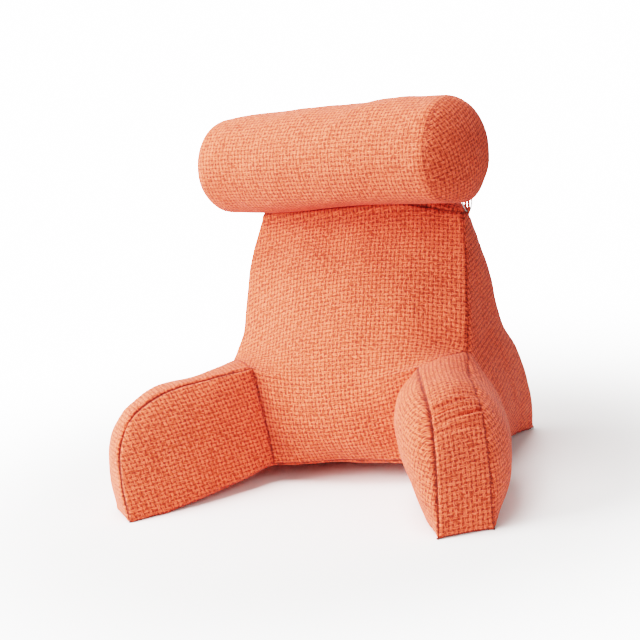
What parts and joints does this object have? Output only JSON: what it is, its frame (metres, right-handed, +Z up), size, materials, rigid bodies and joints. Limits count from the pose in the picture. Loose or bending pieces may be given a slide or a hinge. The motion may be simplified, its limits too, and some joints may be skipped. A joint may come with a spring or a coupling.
{
  "type": "reading pillow with arms",
  "caption": "Soft fabric reading pillow: a wedge-shaped back rest with two splayed padded arms and a bolster roll lying across its top edge.",
  "frame": {"origin": "middle of the whole cushion's bounding box, at its bottom, which is the floor it stands on", "axes": "+Z up; -Y is the front, where the arms reach towards; +X is to the right as seen from the front, and runs across the back, the arms and the roll"},
  "size_m": [0.7816, 0.6084, 0.6842],
  "materials": {
    "cloth": "coarse coral basket weave, matt",
    "ring_metal": "bright wire"
  },
  "bodies": {
    "root": {"back": "cloth", "arm_left": "cloth", "arm_right": "cloth", "roll": "cloth", "ring_left": "ring_metal", "back_tab_left": "cloth", "roll_tab_left": "cloth", "ring_right": "ring_metal", "back_tab_right": "cloth", "roll_tab_right": "cloth"}
  },
  "joints": []
}
